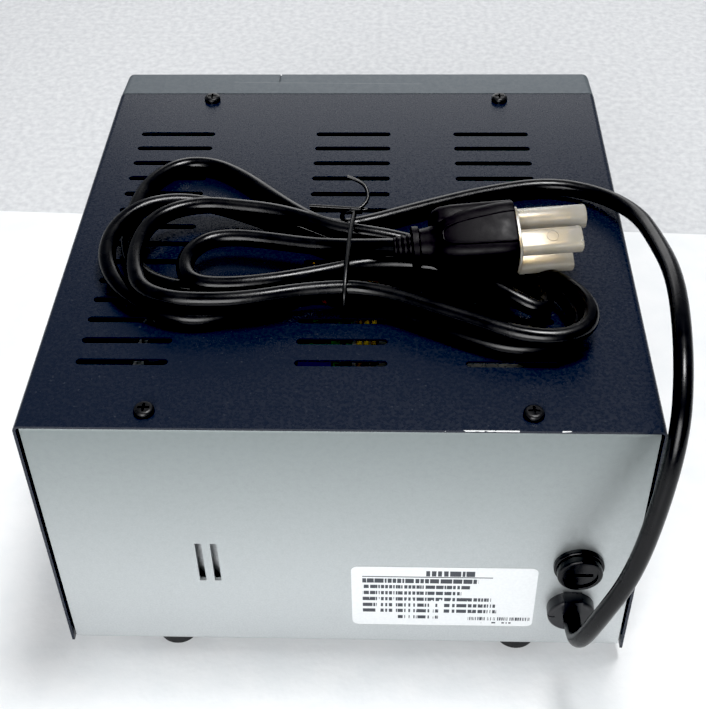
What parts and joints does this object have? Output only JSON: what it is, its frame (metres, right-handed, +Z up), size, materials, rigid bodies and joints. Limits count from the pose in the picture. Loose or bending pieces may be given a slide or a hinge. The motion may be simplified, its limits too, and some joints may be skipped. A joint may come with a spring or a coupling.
{
  "type": "bench power supply",
  "caption": "Vented metal case with a recessed control panel, screw terminals, rear fuse and a captive mains lead; supplies adjustable low-voltage direct current.",
  "frame": {"origin": "on the table, under the middle of the case", "axes": "+Z up, front panel faces -Y, rear panel faces +Y, +X to the right seen from the front"},
  "size_m": [0.2231, 0.2706, 0.1554],
  "materials": {
    "cover_paint": "satin",
    "chassis_plate": "satin",
    "bezel_plastic": "satin",
    "panel_aluminium": "satin",
    "window_acrylic": "gloss",
    "foot_rubber": "matte",
    "black_screw": "satin",
    "zinc_screw": "satin",
    "label_paper": "matte",
    "black_phenolic": "gloss",
    "black_nylon": "satin",
    "fuse_glass": "gloss",
    "heatsink_aluminium": "satin",
    "chip_epoxy": "matte",
    "core_steel": "satin",
    "coil_tape": "satin",
    "board_green": "satin",
    "capacitor_sleeve": "gloss",
    "relay_case": "gloss",
    "digit_plastic": "gloss",
    "led_epoxy": "gloss",
    "pot_metal": "satin",
    "knob_plastic": "satin",
    "rocker_plastic": "gloss",
    "post_brass": "polished",
    "post_plastic_black": "gloss",
    "post_plastic_green": "gloss",
    "post_plastic_red": "gloss",
    "wire_pvc": "satin",
    "cord_pvc": "satin",
    "tie_wire": "gloss",
    "plug_pvc": "satin",
    "cap_plastic": "satin"
  },
  "bodies": {
    "case": {"chassis": "chassis_plate", "front_subpanel": "chassis_plate", "top_cover": "cover_paint", "front_bezel": "bezel_plastic", "front_panel": "panel_aluminium", "display_window": "window_acrylic", "feet": "foot_rubber", "feet_screws": "zinc_screw", "cover_screws": "black_screw", "machine_screws": "zinc_screw", "rating_label": "label_paper", "fuse_holder": "black_phenolic", "fuse_nut": "black_phenolic", "strain_relief": "black_nylon", "heatsink": "heatsink_aluminium", "power_transistors": "chip_epoxy", "transformer_core": "core_steel", "transformer_coil": "coil_tape", "transformer_frame": "zinc_screw", "transformer_bolts": "zinc_screw", "main_board": "board_green", "standoffs": "post_brass", "filter_capacitors": "capacitor_sleeve", "bridge_rectifier": "chip_epoxy", "relays": "relay_case", "regulator_heatsinks": "heatsink_aluminium", "control_chips": "chip_epoxy", "display_board": "board_green", "volt_display": "digit_plastic", "amp_display": "digit_plastic", "indicator_leds": "led_epoxy", "potentiometers": "pot_metal", "potentiometer_nuts": "pot_metal", "switch_housing": "black_nylon", "post_bases": "black_nylon", "post_studs": "post_brass", "post_nuts": "post_brass", "mains_wiring": "wire_pvc", "secondary_wiring": "wire_pvc", "output_wiring": "wire_pvc", "power_cord": "cord_pvc", "cord_hank": "cord_pvc", "cord_tie": "tie_wire", "plug_body": "plug_pvc", "plug_blades": "post_brass"},
    "knob_1": {"knob_1": "knob_plastic"},
    "knob_2": {"knob_2": "knob_plastic"},
    "knob_3": {"knob_3": "knob_plastic"},
    "knob_4": {"knob_4": "knob_plastic"},
    "power_rocker": {"power_rocker": "rocker_plastic"},
    "fuse": {"fuse": "fuse_glass"},
    "fuse_cap": {"fuse_cap": "black_phenolic"},
    "plug_cap": {"plug_cap": "cap_plastic"},
    "post_cap_1": {"post_cap_1": "post_plastic_black"},
    "post_cap_2": {"post_cap_2": "post_plastic_green"},
    "post_cap_3": {"post_cap_3": "post_plastic_red"},
    "post_washer_1": {"post_washer_1": "post_brass"},
    "post_washer_2": {"post_washer_2": "post_brass"},
    "post_washer_3": {"post_washer_3": "post_brass"}
  },
  "joints": [
    {"name": "voltage_coarse_turn", "type": "hinge", "parent": "case", "child": "knob_1", "pos_m": [-0.069, -0.10225, 0.064], "axis": [0, -1, 0], "range_deg": [-150, 150]},
    {"name": "voltage_fine_turn", "type": "hinge", "parent": "case", "child": "knob_2", "pos_m": [-0.023, -0.10225, 0.064], "axis": [0, -1, 0], "range_deg": [-150, 150]},
    {"name": "current_coarse_turn", "type": "hinge", "parent": "case", "child": "knob_3", "pos_m": [0.023, -0.10225, 0.064], "axis": [0, -1, 0], "range_deg": [-150, 150]},
    {"name": "current_fine_turn", "type": "hinge", "parent": "case", "child": "knob_4", "pos_m": [0.069, -0.10225, 0.064], "axis": [0, -1, 0], "range_deg": [-150, 150]},
    {"name": "power_rocker_tilt", "type": "hinge", "parent": "case", "child": "power_rocker", "pos_m": [-0.08, -0.10065, 0.031], "axis": [1, 0, 0], "range_deg": [-20, 0]},
    {"name": "post_1_lift", "type": "slide", "parent": "case", "child": "post_washer_1", "axis": [0, -1, 0], "range_m": [0, 0.00375]},
    {"name": "post_1_unscrew", "type": "hinge", "parent": "post_washer_1", "child": "post_cap_1", "pos_m": [0.02095, -0.10225, 0.031], "axis": [0, -1, 0], "range_deg": [0, 1080]},
    {"name": "post_2_lift", "type": "slide", "parent": "case", "child": "post_washer_2", "axis": [0, -1, 0], "range_m": [0, 0.00375]},
    {"name": "post_2_unscrew", "type": "hinge", "parent": "post_washer_2", "child": "post_cap_2", "pos_m": [0.04, -0.10225, 0.031], "axis": [0, -1, 0], "range_deg": [0, 1080]},
    {"name": "post_3_lift", "type": "slide", "parent": "case", "child": "post_washer_3", "axis": [0, -1, 0], "range_m": [0, 0.00375]},
    {"name": "post_3_unscrew", "type": "hinge", "parent": "post_washer_3", "child": "post_cap_3", "pos_m": [0.05905, -0.10225, 0.031], "axis": [0, -1, 0], "range_deg": [0, 1080]},
    {"name": "fuse_lift", "type": "slide", "parent": "case", "child": "fuse", "axis": [0, 1, 0], "range_m": [0, 0.00375]},
    {"name": "fuse_cap_unscrew", "type": "hinge", "parent": "fuse", "child": "fuse_cap", "pos_m": [-0.0838, 0.12105, 0.0541], "axis": [0, 1, 0], "range_deg": [0, 1080]},
    {"name": "plug_cap_slide", "type": "slide", "parent": "case", "child": "plug_cap", "axis": [-0.9955, -0.0896, 0.0299], "range_m": [0, 0.021]}
  ],
  "couplings": [
    {"joint": "post_1_unscrew", "follows": "post_1_lift", "rad_per_m": 5026.5},
    {"joint": "post_2_unscrew", "follows": "post_2_lift", "rad_per_m": 5026.5},
    {"joint": "post_3_unscrew", "follows": "post_3_lift", "rad_per_m": 5026.5},
    {"joint": "fuse_cap_unscrew", "follows": "fuse_lift", "rad_per_m": 5026.5}
  ]
}
